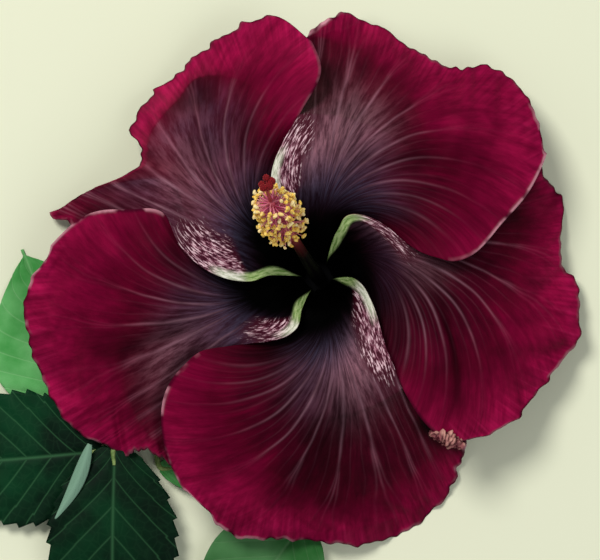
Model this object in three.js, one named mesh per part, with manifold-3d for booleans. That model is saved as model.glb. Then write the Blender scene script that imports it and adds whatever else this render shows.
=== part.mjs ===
// A cut hibiscus bloom on a short leafy shoot, lying face up on a level floor.
// Millimetres, +Z up. Everything is laid out round the throat of the bloom, at x = 0 and
// y = 0, and the whole is moved at the end so that the origin is under its middle.
import * as THREE from 'three';
import { mergeVertices } from 'three/addons/utils/BufferGeometryUtils.js';
import Module from 'manifold-3d';

const wasm = await Module();
wasm.setup();

const RAD = Math.PI / 180;

// ---- Colours -----------------------------------------------------------------------

const CRIMSON = 0x7a0f38;
const CALYX_GREEN = 0x7f9a55;
const STALK_GREEN = 0x6c7d44;
const BARK = 0x66633e;
const LEAF_DARK = 0x1f4a2e;
const LEAF_BRIGHT = 0x4b7e42;
const COLUMN_RED = 0x8e1c2c;
const STIGMA_RED = 0x9a1420;

// ---- Driving dimensions: the corolla -----------------------------------------------

const PETAL_THICK = 1.05;
const CLAW_RADIUS = 4.6;          // where a petal's claw starts, from the flower's axis
const TUBE_RADIUS = 14;           // inside this the petals stand in the leaning tube

// The funnel and the broad back of the corolla: height over the floor by radius.
const PROFILE_RADIUS = [4, 8, 14, 21, 31, 42, 50, 62, 74, 86, 98];
const PROFILE_HEIGHT = [11, 19, 28, 33, 37, 38, 36.5, 31, 23.5, 15, 6];

// The flower's axis leans to the upper left: shift of the tube for each mm below `level`.
const LEAN = { x: -0.12, y: 0.17, level: 28 };

// The five seams between neighbouring petals, clockwise. A seam is the edge that shows
// from above, as its direction in degrees at each of these radii. Inside `cross` it is the
// raised margin of the next petal, and outside it is the free edge of the petal before.
const SEAM_RADIUS = [6, 14, 21, 31, 42, 50, 62, 74, 86];
const SEAMS = [
  { cross: 31, lap: 12, edge: [62, 59, 54, 24, 5, 4, 11, 18.5, 29] },
  { cross: 48, lap: 7, edge: [-6, -11, -28, -44, -51, -53.5, -54, -51, -46] },
  { cross: 33, lap: 10, edge: [-104, -101, -106, -129, -142, -143, -139.5, -128.5, -112] },
  { cross: 51, lap: 7, edge: [-168, -167, -168, -176, -188.5, -200, -197.5, -193.5, -184] },
  { cross: 49, lap: 10, edge: [-235, -237, -240, -245, -258, -266, -272.5, -269.5, -265] },
];
const SLIT = 1.5;                 // open slit between two claws in the throat
const INNER_LAP = 4;              // cover of a raised margin over the petal before it
const CROSS_GAP = 2.4;            // clear width where two margins pass each other
const CROSS_REACH = 4.2;          // and how far along the seam that gap reaches

// Petals, clockwise from the upper right. `rim` is the radius of the free end at even
// steps from the anticlockwise corner to the clockwise one. `low` and `high` are the drop
// and the rise of those two corners, and `fall` is the droop of the middle of the rim.
const PETALS = [
  { name: 'petal_upper_right', low: 38, high: 8, fall: 2, phase: 0.4,
    rim: [68, 79, 85, 81, 77.5, 81, 88, 88, 83] },
  { name: 'petal_right', low: 23, high: 6, fall: 3, phase: 1.7,
    rim: [80, 82.5, 85, 85, 88, 90, 85, 82.5, 73] },
  { name: 'petal_bottom', low: 23.4, high: 7, fall: 2, phase: 2.9,
    rim: [74, 80.5, 86.5, 91.5, 91.5, 90.5, 85.5, 87, 77.5] },
  { name: 'petal_left', low: 8, high: 7, fall: 1, phase: 4.1,
    rim: [73, 75, 79, 83.5, 93.5, 94.5, 95, 93, 84.5] },
  { name: 'petal_upper_left', low: 10, high: 7, fall: 10, phase: 5.3,
    rim: [77, 88, 70, 74, 77, 78, 79, 82, 73.5] },
];
const TWIST_END = 88;             // radius at which a petal's twist is complete
const MARGIN_LIFT = 3.0;          // rise or drop of the margins inside the crossing
const MARGIN_POWER = 2.2;         // how closely the twist keeps to the margins
const RUFFLE = { height: 1.6, waves: 21, from: 0.55 };

// ---- Driving dimensions: cup, stalk and shoot ----------------------------------------

const CALYX_FOOT = 7.4;
const CALYX_OUTER = [[3.4, 7.5], [6.0, 9.2], [7.9, 12.6], [11.2, 19], [13.4, 22.6]];
const CALYX_INNER = [[12.4, 22.8], [9.9, 19], [6.6, 13], [4.6, 10.8]];
const CALYX_FLOOR = 10.6;
const LOBE = { width: 34, radius: 14.2, height: 23.2, reach: 4.5, rise: 1.4, wall: 0.8 };
const BRACTS = { count: 7, length: 12, width: 2.2, thick: 0.8, foot: 3.4, height: 8.6 };

// Round limbs are lists of [x, y, z, radius].
const PEDICEL = [
  [2.4, -3.4, 6.6, 1.9], [2.2, -3.6, 5.4, 1.7], [-2.5, -8, 2.6, 1.5],
  [-12, -17, 2.0, 1.5], [-20, -25, 2.2, 1.6], [-29.4, -32.6, 2.6, 1.8],
];
const SHOOT = [
  [-30.2, -33.2, 2.6, 2.1], [-41, -42, 2.4, 2.3], [-51, -49.5, 2.6, 2.5],
  [-61, -55.5, 2.8, 2.8],
];

// ---- Driving dimensions: column and style --------------------------------------------

const COLUMN = [
  [2.0, -2.8, 12.0, 2.3], [0.9, -1.2, 20, 2.4], [-0.8, 1.2, 32, 1.9],
  [-4.2, 6.6, 50, 1.6], [-8.6, 13, 68, 1.5], [-12.8, 20, 86, 1.0],
];
const ANTHERS = { count: 48, from: 0.73, to: 0.985, reach: 8.0, size: [1.25, 0.9, 0.8] };
const STYLE = [[-12.95, 20.3, 86.6, 0.6], [-14, 23, 90, 0.55], [-14.6, 25.2, 92.5, 0.5]];
const STIGMAS = { count: 5, lean: [-0.3, 3.2, 3.6], spread: 2.6, radius: 1.4 };

// ---- Driving dimensions: leaves ------------------------------------------------------

// `base` is the foot of the blade and `heading` its direction in degrees. `tip` is the
// height of the blade's end, `arch` lifts its middle, `fold` lifts or drops its edges and
// `bend` curves its midrib, as a share of the length.
const LEAF_THICK = 1.0;
const TEETH = 7;
const LEAVES = [
  { name: 'leaf_left', color: LEAF_BRIGHT, base: [-75, -47, 2.6], heading: 110, length: 57,
    width: 46, bend: 0.02, tip: 0.5, arch: 0, fold: 0.5, teeth: 0,
    petiole: [[-59.5, -51.4, 3.4, 1.1], [-67, -48.4, 2.9, 1.0]] },
  { name: 'leaf_far_left', color: LEAF_DARK, base: [-69, -60, 5.4], heading: -174, length: 68,
    width: 44, bend: -0.03, tip: 0.5, arch: 2.2, fold: -1.0, teeth: 2.0,
    petiole: [[-62.5, -56.6, 4.2, 1.1], [-65.5, -59, 5.2, 1.0]] },
  { name: 'leaf_front', color: LEAF_DARK, base: [-64.5, -58.5, 8.8], heading: -92, length: 80,
    width: 42, bend: 0.03, tip: 0.5, arch: 4, fold: -1.5, teeth: 2.4,
    petiole: [[-52, -51.6, 5.4, 1.1], [-57, -55, 7.6, 1.0]] },
  { name: 'leaf_bottom', color: LEAF_BRIGHT, base: [-2, -83, 4], heading: -128, length: 60,
    width: 40, bend: 0.02, tip: 0.5, arch: 2, fold: 1.5, teeth: 0,
    petiole: [[-37, -41.5, 3.4, 1.1], [-24, -52, 3.4, 1.0], [-10, -68, 3.2, 0.95]] },
  { name: 'leaf_small', color: LEAF_BRIGHT, base: [-50, -65.5, 3], heading: -4, length: 40,
    width: 15, bend: 0.02, tip: 0.5, arch: 1, fold: 1, teeth: 0,
    petiole: [[-47.5, -50.6, 3, 1.0], [-50.6, -58, 3.2, 0.9]] },
];
const SHOOT_CLEAR = 0.4;          // a petiole stops this far from the shoot's bark

// ---- Fineness of the faceted solids --------------------------------------------------

const PETAL_GRID = [14, 17];      // columns across and rows along
const LEAF_GRID = [4, 14];
const BRACT_GRID = [1, 4];
const CALYX_SIDES = 20;

// ---- Numbers and curves --------------------------------------------------------------

const clamp = (value, low, high) => Math.min(high, Math.max(low, value));
const mix = (a, b, share) => a + (b - a) * share;

function smooth(share) {
  const s = clamp(share, 0, 1);
  return s * s * (3 - 2 * s);
}

// A smooth curve through values at given stations, level beyond both ends.
function through(stations, values, x) {
  const last = stations.length - 1;
  if (x <= stations[0]) return values[0];
  if (x >= stations[last]) return values[last];
  let i = 0;
  while (x > stations[i + 1]) i += 1;
  const slope = (k) => {
    const a = Math.max(0, k - 1);
    const b = Math.min(last, k + 1);
    return (values[b] - values[a]) / (stations[b] - stations[a]);
  };
  const step = stations[i + 1] - stations[i];
  const s = (x - stations[i]) / step;
  const s2 = s * s;
  const s3 = s2 * s;
  return values[i] * (2 * s3 - 3 * s2 + 1)
    + values[i + 1] * (3 * s2 - 2 * s3)
    + slope(i) * step * (s3 - 2 * s2 + s)
    + slope(i + 1) * step * (s3 - s2);
}

function alongList(values, share) {
  const stations = values.map((_, i) => i / (values.length - 1));
  return through(stations, values, share);
}

// A point at a radius, direction and height, round the leaning axis of the tube.
function roundAxis(radius, angle, height, leanHeight = height) {
  const below = Math.min(0, leanHeight - LEAN.level);
  return new THREE.Vector3(
    LEAN.x * below + radius * Math.cos(angle),
    LEAN.y * below + radius * Math.sin(angle),
    height,
  );
}

// ---- Closed solids -------------------------------------------------------------------

function indexedGeometry(positions, index) {
  const geometry = new THREE.BufferGeometry();
  geometry.setAttribute('position', new THREE.Float32BufferAttribute(positions, 3));
  geometry.setIndex(index);
  return geometry;
}

function toManifold(geometry) {
  const bare = geometry.clone();
  bare.deleteAttribute('normal');
  bare.deleteAttribute('uv');
  const merged = mergeVertices(bare, 1e-4);
  const vertProperties = new Float32Array(merged.attributes.position.array);
  const triVerts = new Uint32Array(merged.index.array);
  return new wasm.Manifold(new wasm.Mesh({ numProp: 3, vertProperties, triVerts }));
}

function toGeometry(solid) {
  const mesh = solid.getMesh();
  return indexedGeometry(mesh.vertProperties, Array.from(mesh.triVerts));
}

// A thin closed sheet: both faces of the surface point(u, t), never below the floor.
function sheetGeometry(point, [columns, rows], thick) {
  const positions = [];
  const nudge = 1e-3;
  [0.5, -0.5].forEach((side) => {
    for (let j = 0; j <= rows; j += 1) {
      for (let i = 0; i <= columns; i += 1) {
        const u = i / columns;
        const t = j / rows;
        const across = point(Math.min(1, u + nudge), t).sub(point(Math.max(0, u - nudge), t));
        const along = point(u, Math.min(1, t + nudge)).sub(point(u, Math.max(0, t - nudge)));
        const normal = along.cross(across).normalize();
        const p = point(u, t).addScaledVector(normal, side * thick);
        positions.push(p.x, p.y, Math.max(p.z, side > 0 ? thick : 0));
      }
    }
  });
  const width = columns + 1;
  const layer = width * (rows + 1);
  const at = (i, j, face) => face * layer + j * width + i;
  const index = [];
  const quad = (a, b, c, d) => index.push(a, b, c, a, c, d);
  for (let j = 0; j < rows; j += 1) {
    for (let i = 0; i < columns; i += 1) {
      quad(at(i, j, 0), at(i, j + 1, 0), at(i + 1, j + 1, 0), at(i + 1, j, 0));
      quad(at(i, j, 1), at(i + 1, j, 1), at(i + 1, j + 1, 1), at(i, j + 1, 1));
    }
    quad(at(0, j, 0), at(0, j, 1), at(0, j + 1, 1), at(0, j + 1, 0));
    quad(at(columns, j, 0), at(columns, j + 1, 0), at(columns, j + 1, 1), at(columns, j, 1));
  }
  for (let i = 0; i < columns; i += 1) {
    quad(at(i, 0, 0), at(i + 1, 0, 0), at(i + 1, 0, 1), at(i, 0, 1));
    quad(at(i, rows, 0), at(i, rows, 1), at(i + 1, rows, 1), at(i + 1, rows, 0));
  }
  return indexedGeometry(positions, index);
}

// Rings of points joined into a closed body, with one more point at each end.
function ringsGeometry(rings, first, last) {
  const sides = rings[0].length;
  const points = [first, ...rings.flat(), last];
  const at = (ring, side) => 1 + ring * sides + (side % sides);
  const index = [];
  for (let s = 0; s < sides; s += 1) {
    index.push(0, at(0, s + 1), at(0, s));
    index.push(points.length - 1, at(rings.length - 1, s), at(rings.length - 1, s + 1));
    for (let r = 0; r + 1 < rings.length; r += 1) {
      index.push(at(r, s), at(r, s + 1), at(r + 1, s + 1));
      index.push(at(r, s), at(r + 1, s + 1), at(r + 1, s));
    }
  }
  return indexedGeometry(points.flatMap((p) => [p.x, p.y, p.z]), index);
}

const curveThrough = (limb) => new THREE.CatmullRomCurve3(
  limb.map(([x, y, z]) => new THREE.Vector3(x, y, z)),
);

// Two directions square to a limb, for the points round it.
function crossAxes(ahead) {
  const side = new THREE.Vector3().crossVectors(ahead, new THREE.Vector3(0.3, 0.2, 1)).normalize();
  const top = new THREE.Vector3().crossVectors(ahead, side);
  return [side, top];
}

// A round tapering limb with flat ends, along a smooth line through its points.
function limbGeometry(limb, sides, steps, extra = 0) {
  const curve = curveThrough(limb);
  const rings = [];
  for (let k = 0; k <= steps; k += 1) {
    const share = k / steps;
    const [side, top] = crossAxes(curve.getTangent(share));
    const radius = alongList(limb.map((p) => p[3]), share) + extra;
    const ring = [];
    for (let i = 0; i < sides; i += 1) {
      const angle = (i / sides) * 2 * Math.PI;
      ring.push(curve.getPoint(share)
        .addScaledVector(side, radius * Math.cos(angle))
        .addScaledVector(top, radius * Math.sin(angle)));
    }
    rings.push(ring);
  }
  return ringsGeometry(rings, curve.getPoint(0), curve.getPoint(1));
}

// ---- Petals ------------------------------------------------------------------------

// Directions, at a radius, of the two margins that meet at a seam: the clockwise margin of
// the petal before it and the anticlockwise margin of the petal after it.
function seamMargins(seam, radius) {
  const edge = through(SEAM_RADIUS, seam.edge, radius);
  const inside = INNER_LAP * smooth((radius - 17) / 7) * smooth((seam.cross - 1.5 - radius) / 6);
  const outside = seam.lap * smooth((radius - seam.cross - 2) / 22);
  const slit = SLIT * (1 - smooth((radius - TUBE_RADIUS) / 6));
  const passing = CROSS_GAP * Math.exp(-(((radius - seam.cross) / CROSS_REACH) ** 2));
  const clear = (slit + passing) / 2;
  const degrees = (width) => width / radius / RAD;
  return {
    before: edge - degrees(inside - clear),
    after: edge + degrees(outside - clear),
  };
}

// What a margin's height gains or loses by its twist, on both sides of the crossing.
function marginLift(radius, cross, inner, outer) {
  const near = smooth((radius - 9) / 9) * clamp((cross - radius) / 9, 0, 1);
  const far = clamp((radius - cross) / (TWIST_END - cross), 0, 1.2);
  return inner * near + outer * (0.65 * far + 0.35 * Math.sqrt(far));
}

// The middle surface of a petal: u runs clockwise across it, t from claw to rim.
function petalPoint(index, u, t) {
  const petal = PETALS[index];
  const first = SEAMS[(index + 4) % 5];
  const second = SEAMS[index];
  const fullTurn = index === 0 ? 360 : 0;
  const radius = mix(CLAW_RADIUS, alongList(petal.rim, u), t);
  const from = seamMargins(first, radius).after + fullTurn;
  const to = seamMargins(second, radius).before;
  const profile = through(PROFILE_RADIUS, PROFILE_HEIGHT, radius);
  const across = Math.sin(Math.PI * u);
  const ruffle = smooth((t - RUFFLE.from) / (1 - RUFFLE.from)) * Math.sin(u * RUFFLE.waves + petal.phase);
  const height = profile
    + (1 - u) ** MARGIN_POWER * marginLift(radius, first.cross, MARGIN_LIFT, -petal.low)
    + u ** MARGIN_POWER * marginLift(radius, second.cross, -MARGIN_LIFT, petal.high)
    - petal.fall * across * smooth((radius - 52) / 34)
    + RUFFLE.height * across * ruffle;
  const leanHeight = radius < TUBE_RADIUS ? profile : LEAN.level;
  return roundAxis(radius, mix(from, to, u) * RAD, height, leanHeight);
}

// ---- Calyx and bracts ----------------------------------------------------------------

// How far a direction is inside a lobe: 1 behind the middle of a slit, 0 between lobes.
function lobeShare(angle) {
  const offsets = SEAMS.map((seam) => {
    const off = angle - seam.edge[1];
    return Math.abs(off - 360 * Math.round(off / 360));
  });
  return Math.max(0, 1 - Math.min(...offsets) / LOBE.width);
}

// A green cup round the claws, with five short lobes behind the slits between them.
function calyxSolid() {
  const ring = (radiusHeight) => {
    const points = [];
    for (let i = 0; i < CALYX_SIDES; i += 1) {
      const angle = (i / CALYX_SIDES) * 360;
      const [radius, height] = radiusHeight(lobeShare(angle));
      points.push(roundAxis(radius, angle * RAD, height));
    }
    return points;
  };
  const lip = (lobe, wall) => [
    LOBE.radius - wall + LOBE.reach * lobe,
    LOBE.height + 0.75 * wall + LOBE.rise * lobe,
  ];
  const rings = [
    ...CALYX_OUTER.map((pair) => ring(() => pair)),
    ring((lobe) => lip(lobe, 0)),
    ring((lobe) => lip(lobe, LOBE.wall)),
    ...CALYX_INNER.map((pair) => ring(() => pair)),
  ];
  const cup = ringsGeometry(rings, roundAxis(0, 0, CALYX_FOOT), roundAxis(0, 0, CALYX_FLOOR));
  let solid = toManifold(cup);
  for (let k = 0; k < BRACTS.count; k += 1) {
    solid = solid.add(toManifold(bractGeometry((k / BRACTS.count) * 2 * Math.PI + 0.3)));
  }
  return solid;
}

// One slender bract that spreads from under the cup and turns up.
function bractGeometry(angle) {
  const out = new THREE.Vector3(Math.cos(angle), Math.sin(angle), 0);
  const aside = new THREE.Vector3(-Math.sin(angle), Math.cos(angle), 0);
  return sheetGeometry((u, t) => {
    const half = (BRACTS.width / 2) * (1 - 0.85 * t ** 1.6) * (2 * u - 1);
    return roundAxis(0, 0, BRACTS.height)
      .addScaledVector(out, BRACTS.foot + t * BRACTS.length)
      .addScaledVector(aside, half)
      .setZ(BRACTS.height + 3.4 * Math.sin(2.2 * t) + 2.5 * t);
  }, BRACT_GRID, BRACTS.thick);
}

// ---- Staminal column, anthers and style ----------------------------------------------

// The column with its anthers, each on a short filament, dealt round it in a spiral.
function columnSolid() {
  const curve = curveThrough(COLUMN);
  const goldenTurn = Math.PI * (3 - Math.sqrt(5));
  let solid = toManifold(limbGeometry(COLUMN, 10, 16));
  for (let k = 0; k < ANTHERS.count; k += 1) {
    const s = k / (ANTHERS.count - 1);
    const share = mix(ANTHERS.from, ANTHERS.to, s);
    const root = curve.getPoint(share);
    const ahead = curve.getTangent(share);
    const [side, top] = crossAxes(ahead);
    const turn = k * goldenTurn;
    const reach = ANTHERS.reach * (0.82 + 0.18 * Math.sin(k * 2.4)) * (1 - 0.25 * s * s);
    const out = side.multiplyScalar(Math.cos(turn))
      .addScaledVector(top, Math.sin(turn))
      .addScaledVector(ahead, 0.25 + 0.5 * s)
      .normalize();
    const tip = root.clone().addScaledVector(out, reach);
    const filament = limbGeometry([[...root, 0.34], [...tip, 0.26]], 3, 1);
    const anther = new THREE.OctahedronGeometry(1, 0);
    anther.scale(...ANTHERS.size);
    anther.rotateZ(turn * 1.7);
    anther.translate(...tip);
    solid = solid.add(toManifold(filament)).add(toManifold(anther));
  }
  return solid;
}

// The style's end, with a round pad on each of its short branches.
function styleSolid() {
  const fork = STYLE[1];
  let solid = toManifold(limbGeometry(STYLE, 6, 4));
  for (let k = 0; k < STIGMAS.count; k += 1) {
    const angle = (k / STIGMAS.count) * 2 * Math.PI + 0.5;
    const tip = [
      fork[0] + STIGMAS.lean[0] + STIGMAS.spread * Math.cos(angle),
      fork[1] + STIGMAS.lean[1] + STIGMAS.spread * Math.sin(angle),
      fork[2] + STIGMAS.lean[2] + 0.6 * Math.sin(k * 2),
    ];
    const branch = limbGeometry([[fork[0], fork[1], fork[2], 0.5], [...tip, 0.4]], 4, 1);
    const pad = new THREE.IcosahedronGeometry(STIGMAS.radius, 1);
    pad.scale(1, 1, 0.75);
    pad.translate(...tip);
    solid = solid.add(toManifold(branch)).add(toManifold(pad));
  }
  return solid;
}

// ---- Leaves ------------------------------------------------------------------------

// Half the width of a blade at a share of its length: broad near the foot, then a point.
const bladeHalf = (t) => Math.sin(Math.PI * Math.min(1, 1.02 * t + 0.02) ** 0.78) ** 0.85;

// A tooth's reach: out at each tooth, in halfway to the next.
const toothWave = (t) => Math.abs(2 * ((t * TEETH) % 1) - 1) - 0.5;

// A blade with its petiole, which runs on under it as the foot of the midrib.
function leafSolid(leaf) {
  const heading = leaf.heading * RAD;
  const ahead = [Math.cos(heading), Math.sin(heading)];
  const [footX, footY, footZ] = leaf.base;
  const blade = sheetGeometry((u, t) => {
    const across = 2 * u - 1;
    const tooth = leaf.teeth * Math.abs(across) ** 3 * toothWave(t);
    const half = Math.max(0.35, bladeHalf(t) * (leaf.width / 2 + tooth));
    const along = t * leaf.length;
    const aside = half * across + leaf.bend * leaf.length * t * t;
    const height = mix(footZ, leaf.tip, t ** 1.3) + leaf.arch * Math.sin(Math.PI * t);
    const edge = leaf.fold * Math.abs(across) * (half / (leaf.width / 2));
    return new THREE.Vector3(
      footX + along * ahead[0] - aside * ahead[1],
      footY + along * ahead[1] + aside * ahead[0],
      height + edge,
    );
  }, LEAF_GRID, LEAF_THICK);
  const runOn = 6;
  const petiole = limbGeometry([
    ...leaf.petiole,
    [footX, footY, footZ, 0.9],
    [footX + runOn * ahead[0], footY + runOn * ahead[1], footZ + 0.3 * leaf.arch - 0.2, 0.6],
  ], 5, 6);
  const bark = toManifold(limbGeometry(SHOOT, 12, 10, SHOOT_CLEAR));
  return toManifold(blade).add(toManifold(petiole)).subtract(bark);
}

// ---- Part --------------------------------------------------------------------------

const part = new THREE.Group();
part.name = 'cut_hibiscus_bloom';

function add(name, geometry, color, roughness) {
  const material = new THREE.MeshStandardMaterial({ color, roughness, metalness: 0 });
  const mesh = new THREE.Mesh(geometry, material);
  mesh.name = name;
  part.add(mesh);
}

PETALS.forEach((petal, index) => {
  const surface = (u, t) => petalPoint(index, u, t);
  add(petal.name, sheetGeometry(surface, PETAL_GRID, PETAL_THICK), CRIMSON, 0.45);
});
add('calyx', toGeometry(calyxSolid()), CALYX_GREEN, 0.6);
add('pedicel', limbGeometry(PEDICEL, 10, 14), STALK_GREEN, 0.6);
add('shoot', limbGeometry(SHOOT, 12, 10), BARK, 0.8);
add('staminal_column', toGeometry(columnSolid()), COLUMN_RED, 0.5);
add('style_branches', toGeometry(styleSolid()), STIGMA_RED, 0.8);
LEAVES.forEach((leaf) => add(leaf.name, toGeometry(leafSolid(leaf)), leaf.color, 0.5));

// The origin goes to the middle of the whole, on the floor.
const bounds = new THREE.Box3().setFromObject(part);
const middle = bounds.getCenter(new THREE.Vector3());
part.position.set(-middle.x, -middle.y, -bounds.min.z);

export default part;
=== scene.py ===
"""The looks of a cut hibiscus bloom that lies face up on a short leafy shoot.

Shapes are laid out in millimetres round the throat of the bloom, and go to metres in the row
frame when a mesh is made.
"""

import math
import random
from functools import reduce

import bmesh
import bpy
import numpy as np
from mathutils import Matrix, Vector, noise


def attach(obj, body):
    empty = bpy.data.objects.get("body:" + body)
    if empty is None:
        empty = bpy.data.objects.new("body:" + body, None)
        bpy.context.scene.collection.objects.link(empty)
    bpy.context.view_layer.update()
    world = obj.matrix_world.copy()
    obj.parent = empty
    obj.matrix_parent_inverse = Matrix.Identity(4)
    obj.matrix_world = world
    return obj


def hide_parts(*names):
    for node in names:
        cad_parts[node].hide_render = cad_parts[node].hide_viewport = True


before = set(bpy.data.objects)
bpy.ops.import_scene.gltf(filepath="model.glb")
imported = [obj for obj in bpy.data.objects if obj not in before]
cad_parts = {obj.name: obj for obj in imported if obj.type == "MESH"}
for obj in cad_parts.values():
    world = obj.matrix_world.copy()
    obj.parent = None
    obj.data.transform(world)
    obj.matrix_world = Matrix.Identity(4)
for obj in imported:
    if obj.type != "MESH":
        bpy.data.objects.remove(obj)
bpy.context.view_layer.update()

MM = 0.001
THROAT = (24.2395, 27.2346)  # where the throat stands in the row frame, in mm
IMAGE_WIDTH = 600
MM_PER_PIXEL = 0.324
SENSOR_WIDTH = 36
CAMERA_DISTANCE = 1100.0  # mm, from the level of the petals
PETAL_LEVEL = 20.0
IMAGE_CENTRE = (-3.9, -3.9)  # mm, from the throat

scene = bpy.context.scene
scene.view_settings.view_transform = "Standard"

# ---- Camera: straight down into the face of the bloom ----


def add_camera():
    data = bpy.data.cameras.new("camera")
    data.sensor_width = SENSOR_WIDTH
    data.lens = SENSOR_WIDTH * CAMERA_DISTANCE / (IMAGE_WIDTH * MM_PER_PIXEL)
    camera = bpy.data.objects.new("camera", data)
    camera.location = (
        (THROAT[0] + IMAGE_CENTRE[0]) * MM,
        (THROAT[1] + IMAGE_CENTRE[1]) * MM,
        (CAMERA_DISTANCE + PETAL_LEVEL) * MM,
    )
    scene.collection.objects.link(camera)
    scene.camera = camera


add_camera()

# ---- Numbers and curves ----


def smooth(x):
    s = np.clip(x, 0, 1)
    return s * s * (3 - 2 * s)


def rise(x, start, width):
    """0 up to start, 1 from start + width on, smooth between."""
    return smooth((x - start) / width)


def mix(a, b, share):
    return a + (b - a) * share


def through(stations, values, x):
    """A smooth curve through values at given stations, level beyond both ends."""
    xs = np.asarray(stations, float)
    ys = np.asarray(values, float)
    last = len(xs) - 1
    before = np.maximum(np.arange(last + 1) - 1, 0)
    behind = np.minimum(np.arange(last + 1) + 1, last)
    slope = (ys[behind] - ys[before]) / (xs[behind] - xs[before])
    x = np.clip(x, xs[0], xs[-1])
    i = np.clip(np.searchsorted(xs, x, side="left") - 1, 0, last - 1)
    step = xs[i + 1] - xs[i]
    s = (x - xs[i]) / step
    s2 = s * s
    s3 = s2 * s
    return (
        ys[i] * (2 * s3 - 3 * s2 + 1)
        + ys[i + 1] * (3 * s2 - 2 * s3)
        + slope[i] * step * (s3 - 2 * s2 + s)
        + slope[i + 1] * step * (s3 - s2)
    )


def along_list(values, share):
    return through(np.linspace(0, 1, len(values)), values, share)


# ---- The corolla ----
#
# It follows the solids. Its rims and margins are drawn finer, up to about 6 mm from theirs.

CLAW_RADIUS = 4.6
TUBE_RADIUS = 14
PROFILE_RADIUS = [4, 8, 14, 21, 31, 42, 50, 62, 74, 86, 98]
PROFILE_HEIGHT = [11, 19, 28, 33, 37, 38, 36.5, 31, 23.5, 15, 6]
LEAN_X, LEAN_Y, LEAN_LEVEL = -0.12, 0.17, 28

# Where two petals meet. `edge` is the direction in degrees of the line between them at each
# SEAM_RADIUS. Their margins pass each other at the radius `cross`, and beyond it the next
# petal runs on beneath this one by up to `lap` mm, in a painted shadow as dark as `shade`.
SEAM_RADIUS = [6, 14, 21, 31, 42, 50, 62, 74, 86]
SEAMS = [
    dict(cross=31, lap=12, shade=0.45, edge=[62, 59, 54, 15, 3.5, 4, 13, 19.5, 27]),
    dict(cross=48, lap=7, shade=0.9, edge=[-6, -11, -28, -44, -51, -53.5, -54, -51, -46]),
    dict(cross=33, lap=10, shade=0.5, edge=[-104, -101, -106, -129, -142, -143, -139.5, -130, -116.5]),
    dict(cross=51, lap=7, shade=0.5, edge=[-168, -167, -168, -176, -188.5, -200, -197.5, -193.5, -184]),
    dict(cross=49, lap=10, shade=0.3, edge=[-235, -237, -240, -245, -258, -266, -272.5, -269.5, -265]),
]
SLIT = 1.5  # mm, between the claws
INNER_LAP, INNER_START, INNER_GROWTH = 4, 17, 7  # mm, inside the crossing
LAP_START, LAP_GROWTH = 2, 22  # mm beyond the crossing
TWIST_END, MARGIN_LIFT, MARGIN_POWER = 88, 3.0, 2.2
RUFFLE_HEIGHT, RUFFLE_WAVES, RUFFLE_FROM = 1.6, 21, 0.55
FOLD_HEIGHT, FOLD_WAVES, FOLD_FROM = 0.7, 44, 0.4
CRIMP_HEIGHT, CRIMP_FROM, PLEAT_HEIGHT = 0.55, 0.84, 0.2
FRILL_DEPTH, FINE_FRILL_DEPTH, FRILL_FROM = 0.28, 0.2, 0.72
RIM_LENGTH = 110  # mm, about the length of a petal's free edge
FAN_START, FAN_WIDTH, FAN_STEP, FAN_SPREAD = 10, 50, 0.17, 0.7
NO_LIP = (0.0, 0.0, 0.0)
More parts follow.
